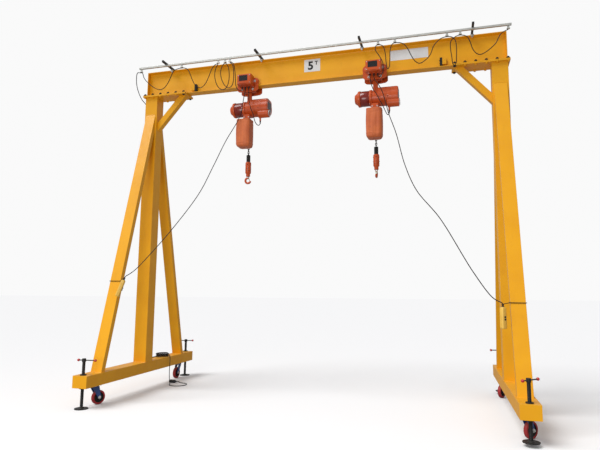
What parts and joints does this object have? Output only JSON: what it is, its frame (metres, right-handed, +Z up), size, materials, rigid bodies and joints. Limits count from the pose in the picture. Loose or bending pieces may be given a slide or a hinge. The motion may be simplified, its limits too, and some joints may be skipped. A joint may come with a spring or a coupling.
{
  "type": "mobile gantry crane",
  "caption": "Steel gantry crane: a rolled beam on two A-frame legs with casters and screw jacks, and electric chain hoists on trolleys under the beam.",
  "frame": {"origin": "on the floor under the middle of the main beam", "axes": "+X along the main beam to the right as seen from the pictured side, +Y away from that side, +Z up"},
  "size_m": [6.1664, 3.1568, 5.54],
  "materials": {
    "yellow_paint": "gloss enamel over rolled and box section steel, dusty on the ledges",
    "orange_paint": "gloss enamel on castings and pressed covers, worn to metal at the edges",
    "blue_paint": "satin enamel",
    "galvanised_steel": "galvanised, dull with faint spangle",
    "black_steel": "black oxide and paint, oily thread",
    "chain_steel": "blackened alloy chain, oiled",
    "black_rubber": "matte moulded rubber",
    "cable_sheath": "matte rubber sheath",
    "red_tread": "red polyurethane tread, dusty",
    "bag_cloth": "coated orange cloth",
    "pendant_plastic": "moulded yellow plastic",
    "plug_plastic": "moulded black plastic"
  },
  "bodies": {
    "root": {"main_beam": "yellow_paint", "beam_end_plates": "yellow_paint", "beam_foot_plates": "yellow_paint", "leg_head_plates": "yellow_paint", "left_column": "yellow_paint", "right_column": "yellow_paint", "left_rakers": "yellow_paint", "right_rakers": "yellow_paint", "knee_braces": "yellow_paint", "left_ground_beam": "yellow_paint", "right_ground_beam": "yellow_paint", "trolley_stops": "yellow_paint", "stop_buffers": "black_rubber", "festoon_rail": "galvanised_steel", "rail_arms": "black_steel", "cable_saddles": "galvanised_steel", "caster_plates": "galvanised_steel", "jack_sleeves": "black_steel", "pendants": "pendant_plastic", "pendant_cables": "cable_sheath", "pendant_ties": "cable_sheath", "festoon_cables": "cable_sheath", "feed_cable": "cable_sheath", "supply_cable": "cable_sheath", "supply_coil": "cable_sheath", "supply_plug": "plug_plastic"},
    "left_trolley": {"left_trolley_frame": "orange_paint", "left_control_box": "orange_paint", "left_motor": "orange_paint", "left_gearcase": "orange_paint", "left_chain_bag": "bag_cloth", "left_hoist_lead": "cable_sheath"},
    "left_block": {"left_load_chain": "chain_steel", "left_chain_bumper": "black_rubber", "left_hook_block": "orange_paint"},
    "left_hook_body": {"left_hook": "orange_paint"},
    "left_front_caster": {"left_front_fork": "blue_paint"},
    "left_front_roller": {"left_front_wheel": "red_tread"},
    "left_front_jack_screw": {"left_front_jack": "black_steel"},
    "left_rear_caster": {"left_rear_fork": "blue_paint"},
    "left_rear_roller": {"left_rear_wheel": "red_tread"},
    "left_rear_jack_screw": {"left_rear_jack": "black_steel"},
    "right_trolley": {"right_trolley_frame": "orange_paint", "right_control_box": "orange_paint", "right_motor": "orange_paint", "right_gearcase": "orange_paint", "right_chain_bag": "bag_cloth", "right_hoist_lead": "cable_sheath"},
    "right_block": {"right_load_chain": "chain_steel", "right_chain_bumper": "black_rubber", "right_hook_block": "orange_paint"},
    "right_hook_body": {"right_hook": "orange_paint"},
    "right_front_caster": {"right_front_fork": "blue_paint"},
    "right_front_roller": {"right_front_wheel": "red_tread"},
    "right_front_jack_screw": {"right_front_jack": "black_steel"},
    "right_rear_caster": {"right_rear_fork": "blue_paint"},
    "right_rear_roller": {"right_rear_wheel": "red_tread"},
    "right_rear_jack_screw": {"right_rear_jack": "black_steel"}
  },
  "joints": [
    {"name": "left_trolley_travel", "type": "slide", "parent": "root", "child": "left_trolley", "axis": [1, 0, 0], "range_m": [-0.77, 0.72], "deforming": ["festoon_cables", "pendant_cables"]},
    {"name": "left_hook_lift", "type": "slide", "parent": "left_trolley", "child": "left_block", "axis": [0, 0, 1], "range_m": [-3.1, 0.58], "deforming": ["left_load_chain"]},
    {"name": "left_hook_swivel", "type": "hinge", "parent": "left_block", "child": "left_hook_body", "pos_m": [-1.07, 0, 3.52], "axis": [0, 0, 1], "continuous": true},
    {"name": "left_front_swivel", "type": "hinge", "parent": "root", "child": "left_front_caster", "pos_m": [-2.885, -1.215, 0.25], "axis": [0, 0, 1], "continuous": true},
    {"name": "left_front_roll", "type": "hinge", "parent": "left_front_caster", "child": "left_front_roller", "pos_m": [-2.86252, -1.15937, 0.1], "axis": [-0.9272, 0.3746, 0], "continuous": true},
    {"name": "left_front_jack_travel", "type": "slide", "parent": "root", "child": "left_front_jack_screw", "axis": [0, 0, 1], "range_m": [-0.15, 0.23]},
    {"name": "left_rear_swivel", "type": "hinge", "parent": "root", "child": "left_rear_caster", "pos_m": [-2.885, 1.215, 0.25], "axis": [0, 0, 1], "continuous": true},
    {"name": "left_rear_roll", "type": "hinge", "parent": "left_rear_caster", "child": "left_rear_roller", "pos_m": [-2.885, 1.155, 0.1], "axis": [1, 0, 0], "continuous": true},
    {"name": "left_rear_jack_travel", "type": "slide", "parent": "root", "child": "left_rear_jack_screw", "axis": [0, 0, 1], "range_m": [-0.15, 0.23]},
    {"name": "right_trolley_travel", "type": "slide", "parent": "root", "child": "right_trolley", "axis": [1, 0, 0], "range_m": [-0.67, 0.79], "deforming": ["festoon_cables", "pendant_cables"]},
    {"name": "right_hook_lift", "type": "slide", "parent": "right_trolley", "child": "right_block", "axis": [0, 0, 1], "range_m": [-3.1, 0.58], "deforming": ["right_load_chain"]},
    {"name": "right_hook_swivel", "type": "hinge", "parent": "right_block", "child": "right_hook_body", "pos_m": [1.052, 0, 3.52], "axis": [0, 0, 1], "continuous": true},
    {"name": "right_front_swivel", "type": "hinge", "parent": "root", "child": "right_front_caster", "pos_m": [2.885, -1.215, 0.25], "axis": [0, 0, 1], "continuous": true},
    {"name": "right_front_roll", "type": "hinge", "parent": "right_front_caster", "child": "right_front_roller", "pos_m": [2.92816, -1.17332, 0.1], "axis": [-0.6947, 0.7193, 0], "continuous": true},
    {"name": "right_front_jack_travel", "type": "slide", "parent": "root", "child": "right_front_jack_screw", "axis": [0, 0, 1], "range_m": [-0.19, 0.19]},
    {"name": "right_rear_swivel", "type": "hinge", "parent": "root", "child": "right_rear_caster", "pos_m": [2.885, 1.215, 0.25], "axis": [0, 0, 1], "continuous": true},
    {"name": "right_rear_roll", "type": "hinge", "parent": "right_rear_caster", "child": "right_rear_roller", "pos_m": [2.855, 1.16304, 0.1], "axis": [0.866, -0.5, 0], "continuous": true},
    {"name": "right_rear_jack_travel", "type": "slide", "parent": "root", "child": "right_rear_jack_screw", "axis": [0, 0, 1], "range_m": [-0.19, 0.19]}
  ]
}
